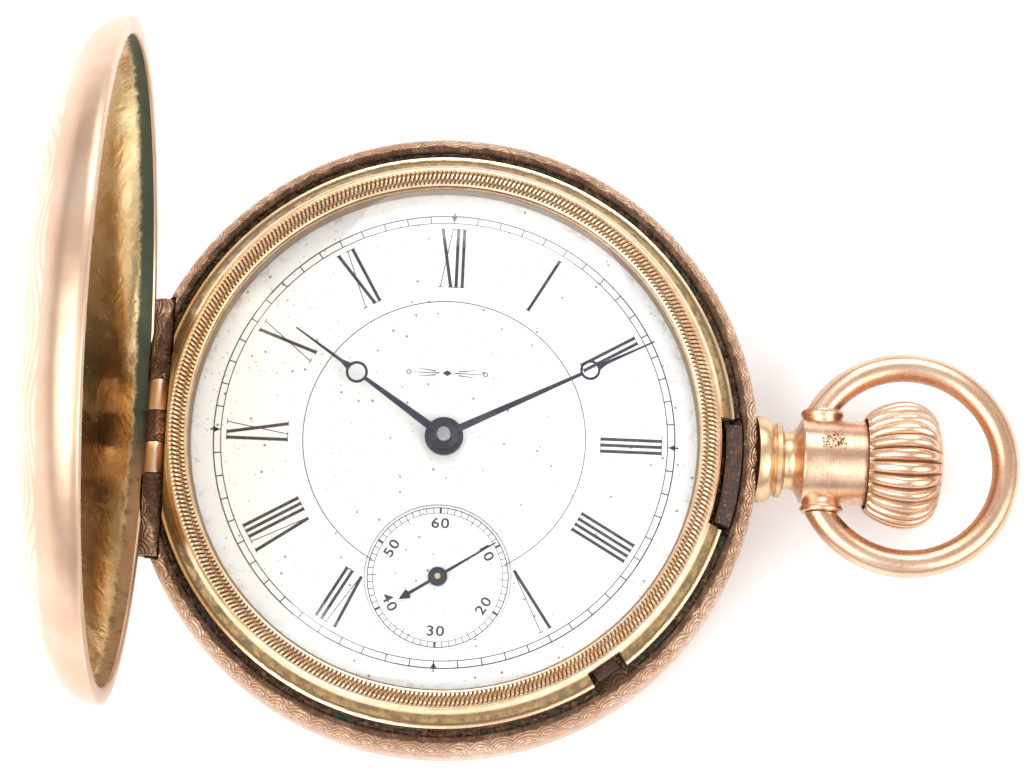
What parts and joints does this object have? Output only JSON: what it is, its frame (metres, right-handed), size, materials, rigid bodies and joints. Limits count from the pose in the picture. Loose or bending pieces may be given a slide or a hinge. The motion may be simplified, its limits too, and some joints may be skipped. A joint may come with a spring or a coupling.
{
  "type": "hunter pocket watch",
  "caption": "Hinged-lid pocket watch with enamel dial, seconds dial, winding crown, swivelling bow and a complete lever movement behind a dust cover",
  "frame": {"origin": "middle of the flat facet of the back lid, on which the watch lies", "axes": "+X through the winding crown at 3 o'clock, +Y to 12 o'clock, +Z out of the dial"},
  "size_m": [0.0615, 0.041, 0.047],
  "materials": {
    "rose_gold": "polished rose gold, worn to pink on the edges, dark grime in the grooves",
    "yellow_gold": "polished yellow gilt with hazy wear",
    "crystal_glass": "clear domed mineral glass",
    "enamel": "glossy white vitreous enamel with fired black printing",
    "blued_steel": "heat-blued polished steel, nearly black",
    "rusty_steel": "dark steel with brown rust",
    "steel": "polished steel",
    "nickel": "nickel-plated brass with fine striping",
    "gilt_brass": "gilt brass"
  },
  "bodies": {
    "case": {"case_center": "rose_gold", "pendant": "rose_gold", "pendant_sleeve": "steel", "bezel": "rose_gold", "crystal": "crystal_glass", "front_hinge_pin": "steel", "back_hinge_pin": "steel", "cuvette_hinge_pin": "steel", "lift_spring": "steel", "dial": "enamel", "seconds_dial": "enamel", "pillar_plate": "nickel", "barrel_bridge": "nickel", "train_bridge": "nickel", "balance_cock": "nickel", "pallet_bridge": "nickel", "hairspring_stud": "steel", "click_spring": "steel", "barrel_bridge_screw_1": "blued_steel", "barrel_bridge_screw_2": "blued_steel", "barrel_bridge_screw_3": "blued_steel", "train_bridge_screw_1": "blued_steel", "train_bridge_screw_2": "blued_steel", "train_bridge_screw_3": "blued_steel", "case_screw_1": "blued_steel", "case_screw_2": "blued_steel", "cock_screw": "blued_steel", "crown_wheel_screw": "blued_steel"},
    "front_lid": {"front_lid": "rose_gold"},
    "back_lid": {"back_lid": "rose_gold"},
    "cuvette": {"cuvette": "yellow_gold"},
    "bow": {"bow": "rose_gold"},
    "winding": {"winding_pinion": "steel"},
    "crown": {"crown": "rose_gold", "stem": "steel"},
    "lock_spring": {"lock_spring": "rusty_steel"},
    "crown_wheel": {"crown_wheel": "steel"},
    "ratchet": {"ratchet_wheel": "steel", "ratchet_screw": "blued_steel", "barrel_arbor": "steel"},
    "barrel": {"mainspring_barrel": "gilt_brass", "barrel_cover": "gilt_brass", "mainspring": "steel"},
    "center_wheel": {"center_wheel": "gilt_brass"},
    "third_wheel": {"third_wheel": "gilt_brass"},
    "fourth_wheel": {"fourth_wheel": "gilt_brass", "seconds_hand": "blued_steel"},
    "escape_wheel": {"escape_wheel": "steel"},
    "pallet_fork": {"pallet_fork": "steel"},
    "balance": {"balance_wheel": "gilt_brass", "hairspring": "blued_steel"},
    "cannon_pinion": {"cannon_pinion": "steel", "minute_hand": "blued_steel"},
    "minute_wheel": {"minute_wheel": "gilt_brass"},
    "hour_wheel": {"hour_wheel": "gilt_brass", "hour_hand": "blued_steel"},
    "setting_lever": {"setting_lever": "rusty_steel"},
    "regulator": {"regulator": "steel"},
    "click": {"click": "steel"}
  },
  "joints": [
    {"name": "front_lid_hinge", "type": "hinge", "parent": "case", "child": "front_lid", "pos_m": [-0.0187, 0, 0.0081], "axis": [0, 1, 0], "range_deg": [0, 88], "stiffness_Nm_per_rad": 0.0002, "springref_deg": -20.05},
    {"name": "back_lid_hinge", "type": "hinge", "parent": "case", "child": "back_lid", "pos_m": [-0.0187, 0, 0.0031], "axis": [0, 1, 0], "range_deg": [0, 95]},
    {"name": "cuvette_hinge", "type": "hinge", "parent": "case", "child": "cuvette", "pos_m": [-0.0175, 0, 0.00325], "axis": [0, 1, 0], "range_deg": [0, 86]},
    {"name": "bow_swivel", "type": "hinge", "parent": "case", "child": "bow", "pos_m": [0.02475, 0, 0.0058], "axis": [0, 1, 0], "range_deg": [-95, 95]},
    {"name": "winding_turn", "type": "hinge", "parent": "case", "child": "winding", "pos_m": [0.013, 0, 0.0058], "axis": [1, 0, 0], "continuous": true},
    {"name": "crown_push", "type": "slide", "parent": "winding", "child": "crown", "axis": [-1, 0, 0], "range_m": [0, 0.0006], "stiffness_N_per_m": 300, "springref_m": -0.0005},
    {"name": "lock_spring_catch", "type": "slide", "parent": "case", "child": "lock_spring", "axis": [-1, 0, 0], "range_m": [0, 0.0003]},
    {"name": "crown_wheel_turn", "type": "hinge", "parent": "case", "child": "crown_wheel", "pos_m": [0.0095, 0, 0.0032], "axis": [0, 0, 1], "continuous": true},
    {"name": "ratchet_turn", "type": "hinge", "parent": "case", "child": "ratchet", "pos_m": [0.00394, 0.00742, 0.0032], "axis": [0, 0, 1], "continuous": true},
    {"name": "cannon_turn", "type": "hinge", "parent": "case", "child": "cannon_pinion", "pos_m": [0, 0, 0.0075], "axis": [0, 0, 1], "continuous": true},
    {"name": "minute_wheel_turn", "type": "hinge", "parent": "case", "child": "minute_wheel", "pos_m": [0.00293, 0.00107, 0.0072], "axis": [0, 0, 1], "continuous": true},
    {"name": "hour_wheel_turn", "type": "hinge", "parent": "case", "child": "hour_wheel", "pos_m": [0, 0, 0.0075], "axis": [0, 0, 1], "continuous": true},
    {"name": "fourth_turn", "type": "hinge", "parent": "case", "child": "fourth_wheel", "pos_m": [0, -0.00907, 0.005], "axis": [0, 0, 1], "continuous": true},
    {"name": "third_turn", "type": "hinge", "parent": "case", "child": "third_wheel", "pos_m": [0.0036, -0.00517, 0.005], "axis": [0, 0, 1], "continuous": true},
    {"name": "center_turn", "type": "hinge", "parent": "case", "child": "center_wheel", "pos_m": [0, 0, 0.005], "axis": [0, 0, 1], "continuous": true},
    {"name": "barrel_turn", "type": "hinge", "parent": "case", "child": "barrel", "pos_m": [0.00394, 0.00742, 0.005], "axis": [0, 0, 1], "continuous": true},
    {"name": "escape_turn", "type": "hinge", "parent": "case", "child": "escape_wheel", "pos_m": [-0.00435, -0.0084, 0.005], "axis": [0, 0, 1], "continuous": true},
    {"name": "pallet_rock", "type": "hinge", "parent": "case", "child": "pallet_fork", "pos_m": [-0.00669, -0.00553, 0.005], "axis": [0, 0, 1], "range_deg": [-5, 5]},
    {"name": "balance_swing", "type": "hinge", "parent": "case", "child": "balance", "pos_m": [-0.0094, -0.0022, 0.004], "axis": [0, 0, 1], "range_deg": [-135, 135], "stiffness_Nm_per_rad": 0.0000001, "deforming": ["hairspring"]},
    {"name": "setting_lever_pull", "type": "slide", "parent": "case", "child": "setting_lever", "axis": [0.6018, -0.7986, 0], "range_m": [0, 0.0006]},
    {"name": "regulator_turn", "type": "hinge", "parent": "case", "child": "regulator", "pos_m": [-0.0094, -0.0022, 0.0028], "axis": [0, 0, 1], "range_deg": [-20, 20]},
    {"name": "click_rock", "type": "hinge", "parent": "case", "child": "click", "pos_m": [-0.0023, 0.01102, 0.0032], "axis": [0, 0, 1], "range_deg": [0, 12], "stiffness_Nm_per_rad": 0.000001, "springref_deg": -5.73}
  ],
  "couplings": [
    {"joint": "cuvette_hinge", "follows": "back_lid_hinge", "ratio": 0.8},
    {"joint": "lock_spring_catch", "follows": "crown_push", "ratio": 0.5},
    {"joint": "crown_wheel_turn", "follows": "winding_turn", "ratio": 0.5},
    {"joint": "ratchet_turn", "follows": "winding_turn", "ratio": -0.32456},
    {"joint": "minute_wheel_turn", "follows": "cannon_turn", "ratio": -0.33333},
    {"joint": "hour_wheel_turn", "follows": "cannon_turn", "ratio": 0.083333},
    {"joint": "third_turn", "follows": "fourth_turn", "ratio": -0.13333},
    {"joint": "center_turn", "follows": "fourth_turn", "ratio": 0.016667},
    {"joint": "barrel_turn", "follows": "fourth_turn", "ratio": -0.0027778},
    {"joint": "escape_turn", "follows": "fourth_turn", "ratio": -10}
  ]
}
